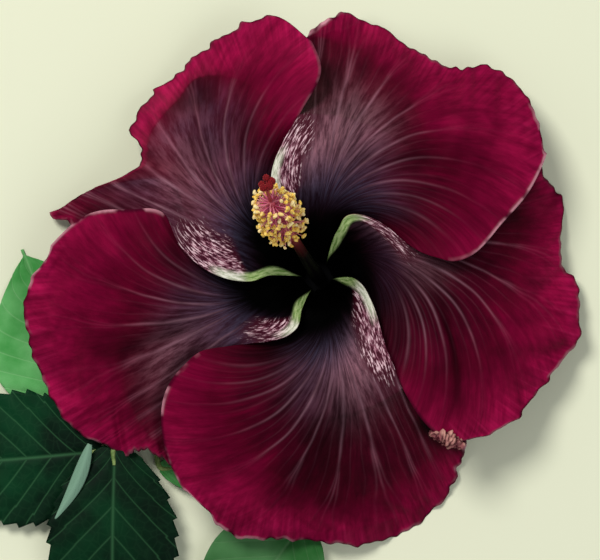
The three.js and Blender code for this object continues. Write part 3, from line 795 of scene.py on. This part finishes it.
def curve_points(limb, steps):
    """Points, directions and radii along a smooth line through [x, y, z, radius]."""
    knots = np.asarray(limb, float)
    share = np.linspace(0, 1, steps + 1)
    columns = [along_list(knots[:, k], share) for k in range(4)]
    centre = np.stack(columns[:3], -1)
    ahead = np.gradient(centre, axis=0)
    ahead /= np.linalg.norm(ahead, axis=-1, keepdims=True)
    return centre, ahead, columns[3]


def limb_arrays(limb, sides, steps, swell=None):
    """A closed round limb. swell(angle, share) scales its radius."""
    centre, ahead, radius = curve_points(limb, steps)
    side, top = sideways(ahead)
    angle = np.linspace(0, 2 * np.pi, sides, endpoint=False)[None, :]
    share = np.linspace(0, 1, steps + 1)[:, None]
    scale = swell(angle, share) if swell else np.ones((steps + 1, sides))
    line = (centre[:, None, :], side[:, None, :], top[:, None, :])
    rings = ring_points(*line, radius[:, None] * scale, angle)
    vertices = np.concatenate([rings.reshape(-1, 3), centre[:1], centre[-1:]])
    return vertices, tube_faces(sides, steps)


def tube_faces(sides, steps):
    at = np.arange(sides * (steps + 1)).reshape(steps + 1, sides)
    nxt = np.roll(at, -1, axis=1)
    quads = np.stack([at[:-1], nxt[:-1], nxt[1:], at[1:]], -1)
    faces = quads.reshape(-1, 4).tolist()
    first, last = at.size, at.size + 1
    faces += [[first, nxt[0, s], at[0, s]] for s in range(sides)]
    faces += [[last, at[-1, s], nxt[-1, s]] for s in range(sides)]
    return faces


class Pile:
    """Many small closed meshes gathered into one piece."""

    def __init__(self):
        self.vertices, self.faces, self.fields, self.count = [], [], {}, 0

    def add(self, vertices, faces, **fields):
        self.vertices.append(vertices)
        self.faces += [[i + self.count for i in face] for face in faces]
        for key, value in fields.items():
            values = np.broadcast_to(np.asarray(value, float), (len(vertices),))
            self.fields.setdefault(key, []).append(values)
        self.count += len(vertices)

    def piece(self, name):
        fields = {key: np.concatenate(values) for key, values in self.fields.items()}
        return new_object(name, np.concatenate(self.vertices), self.faces, fields)


# ---- Column, anthers and style ----

COLUMN = [
    [2.0, -2.8, 12.0, 2.3], [0.9, -1.2, 20, 2.4], [-0.8, 1.2, 32, 1.9],
    [-4.2, 6.6, 50, 1.6], [-8.6, 13, 68, 1.5], [-12.8, 20, 86, 1.0],
]
STYLE = [[-12.95, 20.3, 86.6, 0.6], [-13.7, 22.6, 90, 0.55], [-14.2, 24.6, 92.3, 0.5]]
COLUMN_FOOT, COLUMN_LENGTH = 12, 76  # mm, for its change of colour
STIGMAS = dict(count=5, lean=(-0.5, 2.6, 3.0), spread=1.7, radius=1.15)
ANTHER_COUNT = 270
ANTHER_SHARE = (0.78, 0.998)
ANTHER_REACH = 8.3
ANTHER_LENGTH, ANTHER_SHAPE = (0.64, 0.88), (1.15, 0.72, 0.66)
FILAMENT_RADII = (0.24, 0.18, 0.15)
BARE_REACH, BARE_SHARE = 4.2, 0.62  # fewer anthers hide the middle of the cluster
COLUMN_SIDES, COLUMN_STEPS, CURVE_STEPS = 30, 70, 200


def ball(detail):
    """Vertices and faces of a small icosphere of radius 1."""
    shape = bmesh.new()
    bmesh.ops.create_icosphere(shape, subdivisions=detail, radius=1)
    shape.verts.ensure_lookup_table()
    vertices = np.array([v.co for v in shape.verts])
    faces = [[v.index for v in face.verts] for face in shape.faces]
    shape.free()
    return vertices, faces


def turned(vertices, ahead, spin):
    """Points whose X axis is turned to `ahead`, spun about it."""
    ahead = np.asarray(ahead) / np.linalg.norm(ahead)
    side, top = sideways(ahead, (0.21, 0.32, 0.92))
    a = side * math.cos(spin) + top * math.sin(spin)
    b = np.cross(ahead, a)
    return vertices[:, :1] * ahead + vertices[:, 1:2] * a + vertices[:, 2:] * b


def flutes(angle, share):
    return 1 + 0.06 * np.cos(5 * angle + 1.5 * share)


def kidney(bead, length, number):
    """The points of one anther, bent and split along a seam, and its grain."""
    points = bead * ANTHER_SHAPE * length
    points[:, 1] += 0.32 * (points[:, 0] / length) ** 2
    seam = np.exp(-((points[:, 2] / 0.16) ** 2)) * (points[:, 1] < 0.3)
    grain = noise_at(bead, 4.2, number)
    return points * ((1 - 0.14 * seam) * (1 + 0.16 * grain))[:, None], grain


def add_column(rng):
    column = Pile()
    vertices, faces = limb_arrays(COLUMN, COLUMN_SIDES, COLUMN_STEPS, flutes)
    tall = np.clip((vertices[:, 2] - COLUMN_FOOT) / COLUMN_LENGTH, 0, 1)
    column.add(vertices, faces, tall=tall)
    threads, pollen = Pile(), Pile()
    centre, ahead, _ = curve_points(COLUMN, CURVE_STEPS)
    bead, bead_faces = ball(3)
    golden = math.pi * (3 - math.sqrt(5))
    for k in range(ANTHER_COUNT):
        s = k / (ANTHER_COUNT - 1)
        i = int(mix(*ANTHER_SHARE, s) * CURVE_STEPS)
        root, forward = centre[i], ahead[i]
        side, top = sideways(forward)
        turn = k * golden + rng.uniform(-0.25, 0.25)
        out = side * math.cos(turn) + top * math.sin(turn)
        out = out + forward * (0.05 + 0.5 * s + rng.uniform(-0.12, 0.12))
        out /= np.linalg.norm(out)
        reach = ANTHER_REACH * rng.uniform(0.7, 1.0) * (0.88 + 0.36 * s - 0.5 * s * s)
        tip = root + out * reach
        if np.hypot(*(tip - root)[:2]) < BARE_REACH and rng.random() < BARE_SHARE:
            continue
        bow = np.array([rng.uniform(-0.5, 0.5), rng.uniform(-0.5, 0.5), rng.uniform(-0.7, 0.2)])
        middle = (root + tip) / 2 + bow
        thread = [[*point, r] for point, r in zip((root, middle, tip), FILAMENT_RADII)]
        vertices, faces = limb_arrays(thread, 6, 6)
        away = np.linalg.norm(vertices - root, axis=1) / reach
        threads.add(vertices, faces, away=away, own=rng.random())
        points, grain = kidney(bead, rng.uniform(*ANTHER_LENGTH), k)
        placed = turned(points, [rng.uniform(-1, 1) for _ in range(3)], rng.uniform(0, 6.28))
        pollen.add(placed + tip, bead_faces, grain=grain, own=rng.random())
    return column.piece("column"), threads.piece("filaments"), pollen.piece("anthers")


def column_material():
    n = Nodes("column", roughness=0.5, specular=0.1)
    streak = n.grain(420.0, 3.0)
    # Black towards the foot, down in the throat, is painted shade; the column is red higher up.
    color = n.ramp(n.field("tall"), [
        (0.0, "000001"), (0.42, "060103"), (0.56, "42060c"), (0.7, "8a1620"), (1.0, "b8405c"),
    ])
    lighter = n.mul(streak, n.step(n.field("tall"), 0.5, 0.8), 0.4)
    color = n.blend(lighter, color, "e08a86")
    return n.finish(color, streak, 0.0002, 0.4)


def filament_material():
    n = Nodes("filament", roughness=0.4, specular=0.35)
    color = n.ramp(n.field("away"), [(0.0, "b02a5e"), (0.55, "cf4f86"), (1.0, "e8a7a2")])
    color = n.blend(n.mul(n.field("own"), 0.35), color, "e2b19a")
    grain = n.grain(900.0)
    return n.finish(color, grain, 0.0001, 0.3)


def anther_material():
    n = Nodes("pollen", roughness=0.75, specular=0.2)
    grain = n.grain(2600.0)
    bead = n.step(n.cells(2600.0, "F1"), 0.55, 0.1)
    color = n.blend(n.step(grain, 0.35, 0.7), "e8ac2e", "ffe678")
    color = n.blend(n.mul(bead, 0.45), color, "f8ecb4")
    # Some anthers, picked at random, turn cream: partly paler pollen, partly painted highlight.
    color = n.blend(n.mul(n.step(n.field("own"), 0.55, 1.0), 0.6), color, "fdf0c4")
    return n.finish(color, bead, 0.0002, 0.6)


random_source = random.Random(7)
column_looks = (column_material(), filament_material(), anther_material())
for made, shown in zip(add_column(random_source), column_looks):
    dress(made, shown, "column", "staminal_column")


def add_style(rng):
    branches, pads = Pile(), Pile()
    branches.add(*limb_arrays(STYLE, 12, 12))
    fork = np.array(STYLE[1][:3])
    bead, bead_faces = ball(4)
    for k in range(STIGMAS["count"]):
        angle = k / STIGMAS["count"] * 2 * math.pi + rng.uniform(0.2, 0.9)
        spread = STIGMAS["spread"] * rng.uniform(0.6, 1.1)
        around = [spread * math.cos(angle), spread * math.sin(angle), rng.uniform(-1.0, 0.8)]
        tip = fork + STIGMAS["lean"] + around
        middle = (fork + tip) / 2 + [0, 0, 0.5]
        branches.add(*limb_arrays([[*fork, 0.42], [*middle, 0.34], [*tip, 0.34]], 10, 8))
        hairs = noise_at(bead, 7.5, k * 3)
        radius = STIGMAS["radius"] * rng.uniform(0.8, 1.1)
        pad = bead * (1 + 0.3 * hairs)[:, None] * radius * np.array([1, 1, 0.75])
        pads.add(pad + tip, bead_faces, hairs=0.5 + 0.5 * hairs)
    return branches.piece("style"), pads.piece("stigma_pads")


def style_material():
    n = Nodes("style", roughness=0.4, specular=0.3)
    grain = n.grain(700.0)
    return n.finish(n.blend(grain, "7c1720", "b5434a"), grain, 0.0001, 0.3)


def stigma_material():
    n = Nodes("stigma", roughness=0.85, specular=0.15, sheen=0.5, sheen_tint="ff6a6a")
    fuzz = n.grain(3200.0)
    color = n.blend(n.step(n.field("hairs"), 0.35, 0.75), "38040a", "8c0e18")
    color = n.blend(n.mul(fuzz, 0.25), color, "b8343a")
    return n.finish(color, fuzz, 0.0002, 0.8)


for made, shown in zip(add_style(random_source), (style_material(), stigma_material())):
    dress(made, shown, "stigma", "style_branches")

# ---- Calyx, bracts, stalk and shoot ----

CALYX_OUTER = [[3.4, 7.5], [6.0, 9.2], [7.9, 12.6], [11.2, 19], [13.4, 22.6]]
CALYX_INNER = [[12.4, 22.8], [9.9, 19], [6.6, 13], [4.6, 10.8]]
CALYX_FOOT, CALYX_FLOOR = 7.4, 10.6
LOBE = dict(width=34, radius=14.2, height=23.2, reach=4.5, rise=1.4, wall=0.8)
BRACTS = dict(count=7, length=12, width=2.2, thick=0.7, foot=3.4, height=8.6)
PEDICEL = [
    [2.4, -3.4, 6.6, 1.9], [2.2, -3.6, 5.4, 1.7], [-2.5, -8, 2.6, 1.5],
    [-12, -17, 2.0, 1.5], [-20, -25, 2.2, 1.6], [-29.4, -32.6, 2.6, 1.8],
]
SHOOT = [
    [-30.2, -33.2, 2.6, 2.1], [-41, -42, 2.4, 2.2], [-51, -49.5, 2.6, 2.4],
    [-61, -55.5, 2.8, 2.6],
]
CALYX_SIDES, CALYX_STEPS, CALYX_RIBS = 120, 15, 15
STEM_SIDES, STEM_STEPS = 28, 80


def round_axis(radius, angle, height):
    below = np.minimum(0, height - LEAN_LEVEL)
    return np.stack([
        LEAN_X * below + radius * np.cos(angle),
        LEAN_Y * below + radius * np.sin(angle),
        height + 0 * angle,
    ], -1)


def lobe_share(angle):
    """1 behind the middle of a slit, 0 between lobes."""
    share = np.zeros_like(angle)
    for seam in SEAMS:
        off = np.degrees(angle) - seam["edge"][1]
        off = np.abs(off - 360 * np.round(off / 360))
        share = np.maximum(share, 1 - off / LOBE["width"])
    return share


def add_calyx():
    angle = np.linspace(0, 2 * np.pi, CALYX_SIDES, endpoint=False)
    lobe = lobe_share(angle)
    rings = []
    for step in np.linspace(0, 1, CALYX_STEPS + 1):
        radius, height = (along_list(column, step) for column in zip(*CALYX_OUTER))
        rib = 1 + 0.02 * np.cos(CALYX_RIBS * angle) * math.sin(math.pi * step)
        rings.append((radius * rib, height, 0))
    for wall, depth in ((0, 0), (LOBE["wall"], 1)):
        reach = LOBE["radius"] - wall + LOBE["reach"] * lobe
        rings.append((reach, LOBE["height"] + 0.75 * wall + LOBE["rise"] * lobe, depth))
    rings += [(radius, height, 1) for radius, height in CALYX_INNER]
    around = [round_axis(radius, angle, height) for radius, height, _ in rings]
    ends = [round_axis(0.0, np.zeros(1), np.float64(h))[0] for h in (CALYX_FOOT, CALYX_FLOOR)]
    vertices = np.concatenate([*around, ends])
    depth = np.append(np.repeat([inside for *_, inside in rings], CALYX_SIDES), [0, 1])
    cup = Pile()
    cup.add(vertices, tube_faces(CALYX_SIDES, len(rings) - 1), inside=depth)
    for k in range(BRACTS["count"]):
        points = bract_points(k / BRACTS["count"] * 2 * math.pi + 0.3)
        blade, faces = sheet_arrays(points, BRACTS["thick"])
        cup.add(blade, faces.tolist(), inside=0)
    return cup.piece("calyx_cup")


def bract_points(turn):
    u, t = share_grid(8, 30)
    half = BRACTS["width"] / 2 * (1 - 0.85 * t**1.6) * (2 * u - 1)
    along = BRACTS["foot"] + t * BRACTS["length"]
    below = BRACTS["height"] - LEAN_LEVEL
    height = BRACTS["height"] + 3.4 * np.sin(2.2 * t) + 2.5 * t + 0.25 * np.abs(2 * u - 1)
    return laid_out((LEAN_X * below, LEAN_Y * below), turn, along, half, height)


def calyx_material():
    n = Nodes("calyx", roughness=0.6, specular=0.04)
    ribs = n.grain(260.0, 3.0)
    color = n.blend(n.step(ribs, 0.3, 0.7), "5c7a3a", "9db36c")
    # The inside of the cup is painted near-black: painted shade deep in the throat.
    color = n.blend(n.field("inside"), color, "010102")
    return n.finish(color, ribs, 0.0003, 0.4)


dress(add_calyx(), calyx_material(), "calyx_green", "calyx")


def stalk_material(name, low, high, scale):
    n = Nodes(name, roughness=0.65, specular=0.25)
    grain = n.grain(scale, 4.0, 0.6)
    dots = n.step(n.cells(scale * 1.7, "F1"), 0.22, 0.12)
    color = n.blend(n.step(grain, 0.3, 0.7), low, high)
    color = n.blend(n.mul(dots, 0.5), color, "b5ac86")
    return n.finish(color, n.add(grain, n.mul(dots, 0.5)), 0.0004, 0.5)


def add_limb(name, limb, slot, node, material, bumps):
    def rough(angle, share):
        return 1 + bumps * np.cos(5 * angle + 9 * share) * np.sin(31 * share)

    stem = new_object(name, *limb_arrays(limb, STEM_SIDES, STEM_STEPS, rough))
    dress(stem, material, slot, node)


add_limb("stalk", PEDICEL, "stem", "pedicel", stalk_material("stalk", "5b6f35", "87975a", 300.0), 0.02)
add_limb("cut_shoot", SHOOT, "stem", "shoot", stalk_material("bark", "4d4a2c", "7c7850", 240.0), 0.03)

# ---- Leaves ----

LEAF_THICK = 0.55
LEAF_TIP = 0.5  # mm above the floor
TEETH = 13
# Leaves in `leaf_dark` get deep greens as painted shade, those in `leaf_bright` lighter greens as
# painted light, and `tone_and_painted_light` scales each leaf's colour as more painted light or shade.
LEAVES = [
    dict(name="leaf_left", slot="leaf_bright", tone_and_painted_light=1.25, base=(-75, -47, 2.6), heading=110, length=57,
         width=46, bend=0.02, arch=0, fold=0.5, teeth=0,
         petiole=[[-59.5, -51.4, 3.4, 1.1], [-67, -48.4, 2.9, 1.0]]),
    dict(name="leaf_far_left", slot="leaf_dark", tone_and_painted_light=1.0, base=(-69, -60, 5.4), heading=-174, length=68,
         width=44, bend=-0.03, arch=2.2, fold=-1.0, teeth=1.7,
         petiole=[[-62.5, -56.6, 4.2, 1.1], [-65.5, -59, 5.2, 1.0]]),
    dict(name="leaf_front", slot="leaf_dark", tone_and_painted_light=0.8, base=(-64.5, -58.5, 8.8), heading=-92, length=80,
         width=42, bend=0.03, arch=4, fold=-1.5, teeth=1.8,
         petiole=[[-52, -51.6, 5.4, 1.1], [-57, -55, 7.6, 1.0]]),
    dict(name="leaf_bottom", slot="leaf_bright", tone_and_painted_light=0.48, base=(-2, -83, 4), heading=-128, length=60,
         width=40, bend=0.02, arch=2, fold=1.5, teeth=0,
         petiole=[[-37, -41.5, 3.4, 1.1], [-24, -52, 3.4, 1.0], [-10, -68, 3.2, 0.95]]),
    dict(name="leaf_small", slot="leaf_bright", tone_and_painted_light=0.85, base=(-50, -65.5, 3), heading=-4, length=40,
         width=15, bend=0.02, arch=1, fold=1, teeth=0,
         petiole=[[-47.5, -50.6, 3, 1.0], [-50.6, -58, 3.2, 0.9]]),
]
LEAF_COLUMNS, LEAF_ROWS = 48, 110
PETIOLE_RUN = 6  # mm that a leaf stalk runs on under its blade
SIDE_VEINS = 8
VEIN_RISE, VEIN_SLANT = 1.05, 0.30
PUFF_HEIGHT, RIB_DEPTH, RIB_WIDTH = 0.45, 0.35, 1.1  # mm


def leaf_surface(leaf, u, t):
    across = 2 * u - 1
    blade = np.sin(np.pi * np.minimum(1, 1.02 * t + 0.02) ** 0.78) ** 0.85
    saw = (t * TEETH + 0.3 * np.sign(across)) % 1
    tooth = leaf["teeth"] * np.abs(across) ** 3 * (saw**1.3 - 0.4)
    half = np.maximum(0.35, blade * (leaf["width"] / 2 + tooth))
    along = t * leaf["length"]
    aside = half * across + leaf["bend"] * leaf["length"] * t * t
    height = mix(leaf["base"][2], LEAF_TIP, t**1.3) + leaf["arch"] * np.sin(np.pi * t)
    side = np.abs(across) * half / (leaf["width"] / 2)
    height = height + leaf["fold"] * side
    vein_turn = (t * VEIN_RISE - VEIN_SLANT * np.abs(across)) * SIDE_VEINS
    puff = np.abs(np.sin(np.pi * vein_turn)) * np.sqrt(np.clip(side, 0, 1))
    rib = np.exp(-((half * across / RIB_WIDTH) ** 2))
    height = height + PUFF_HEIGHT * puff * smooth(t / 0.1) - RIB_DEPTH * rib + 0.1
    return laid_out(leaf["base"], math.radians(leaf["heading"]), along, aside, height), half


def add_leaf(leaf, materials):
    u, t = share_grid(LEAF_COLUMNS, LEAF_ROWS)
    points, half = leaf_surface(leaf, u, t)
    fields = dict(half=half, tone_and_painted_light=leaf["tone_and_painted_light"])
    blade = add_sheet(leaf["name"] + "_blade", u, t, points, LEAF_THICK, fields)
    heading = math.radians(leaf["heading"])
    x, y, z = leaf["base"]
    run_on = (x + PETIOLE_RUN * math.cos(heading), y + PETIOLE_RUN * math.sin(heading))
    stalk = [*leaf["petiole"], [x, y, z, 0.9], [*run_on, z + 0.3 * leaf["arch"] - 0.4, 0.5]]
    petiole = new_object(leaf["name"] + "_stalk", *limb_arrays(stalk, 14, 30))
    dress(blade, materials[leaf["slot"]], leaf["slot"], leaf["name"])
    dress(petiole, materials["stalk"], leaf["slot"], leaf["name"])


def leaf_material(name, deep, light, vein, back, marked):
    n = Nodes(name, roughness=0.55, specular=0.06)
    u, t = n.uv()
    across = n.math("ABSOLUTE", n.sub(n.mul(u, 2.0), 1.0))
    half = n.field("half")
    rib = n.line(n.mul(across, half), 0.55)
    turn = n.mul(n.sub(n.mul(t, VEIN_RISE), n.mul(across, VEIN_SLANT)), float(SIDE_VEINS))
    side = n.line(n.off_middle(n.add(turn, 0.5)), 0.045)
    net = n.line(n.cells(330.0), 0.07)
    veins = n.top(rib, n.mul(side, 0.7), n.mul(net, 0.08))
    cloud = n.grain(55.0, 3.0)
    color = n.blend(n.step(cloud, 0.3, 0.7), deep, light)
    color = n.blend(n.mul(veins, marked), color, vein)
    # The field `tone_and_painted_light` brightens or darkens the whole leaf: painted light and shade.
    color = n.blend(1.0, color, n.gray(n.field("tone_and_painted_light")), "MULTIPLY")
    color = n.blend(n.field("back"), color, back)
    relief = n.sub(n.mul(cloud, 0.2), n.mul(veins, 0.6))
    return n.finish(color, relief, 0.0004, 0.5)


# Shaded and lit greens of one leaf: painted shade and painted light.
leaf_looks = {
    "leaf_dark": leaf_material("leaf_dark", "01150a", "04331a", "3a6a44", "3c5c40", 0.55),
    "leaf_bright": leaf_material("leaf_bright", "2f7a34", "64a464", "8cb884", "7fa07a", 0.3),
    "stalk": stalk_material("petiole", "566f36", "8aa05e", 420.0),
}
for entry in LEAVES:
    add_leaf(entry, leaf_looks)

FOLDED = dict(base=(-72.5, -57.5, 11.5), tip=9.5, heading=-115, length=27, width=4.2, thick=0.4)


def add_folded_tip(material):
    """A narrow leaf that lies folded over the front leaf, its pale grey-green a painted reflection."""
    u, t = share_grid(12, 40)
    across = 2 * u - 1
    half = FOLDED["width"] / 2 * np.sin(np.pi * (0.04 + 0.95 * t) ** 0.8) + 0.15
    turn = math.radians(FOLDED["heading"])
    aside = half * across + 1.4 * np.sin(np.pi * t)
    height = mix(FOLDED["base"][2], FOLDED["tip"], t) + 1.1 * half / 2 * (1 - np.abs(across))
    points = laid_out(FOLDED["base"], turn, t * FOLDED["length"], aside, height)
    fields = dict(half=half, tone_and_painted_light=1.0)
    # Mostly the pale back colour on top as well, as painted reflection.
    piece = add_sheet("folded_leaf", u, t, points, FOLDED["thick"], fields, back=0.8)
    dress(piece, material, "leaf_dark", "leaf_front")


# Pale grey-green greens: a painted reflection of gloss.
add_folded_tip(leaf_material("leaf_painted_reflection", "3f6a50", "6c9a80", "9cc0a4", "789a84", 0.3))

# ---- Floor and light ----

FLOOR_HALF = 3000.0  # mm
AIM = Vector((0, 0, 0.02))
DAYLIGHT = (0.95, 0.97, 1.0)
WARM = (1.0, 0.98, 0.95)


def floor_material():
    n = Nodes("floor", roughness=0.8, specular=0.1)
    grain = n.grain(6.0, 4.0)
    return n.finish(n.blend(grain, "dfe2c6", "e4e7cd"))


def add_floor():
    corners = [(x * FLOOR_HALF, y * FLOOR_HALF, 0) for x, y in ((-1, -1), (1, -1), (1, 1), (-1, 1))]
    floor = new_object("floor", corners, [(0, 1, 2, 3)])
    floor.data.materials.append(floor_material())


def add_softbox(name, place, size, watts, color):
    data = bpy.data.lights.new(name, "AREA")
    data.shape = "DISK"
    data.size = size
    data.energy = watts
    data.color = color
    lamp = bpy.data.objects.new(name, data)
    lamp.location = place
    lamp.rotation_euler = (AIM - Vector(place)).to_track_quat("-Z", "Y").to_euler()
    scene.collection.objects.link(lamp)


def add_world(strength, color):
    world = bpy.data.worlds.new("studio")
    world.use_nodes = True
    background = world.node_tree.nodes["Background"]
    background.inputs["Color"].default_value = (*color, 1)
    background.inputs["Strength"].default_value = strength
    scene.world = world


add_floor()
add_softbox("key", place=(-0.55, 0.75, 1.35), size=0.6, watts=20, color=WARM)
add_softbox("fill", place=(0.9, -0.6, 1.5), size=1.4, watts=8, color=DAYLIGHT)
add_world(strength=0.32, color=DAYLIGHT)
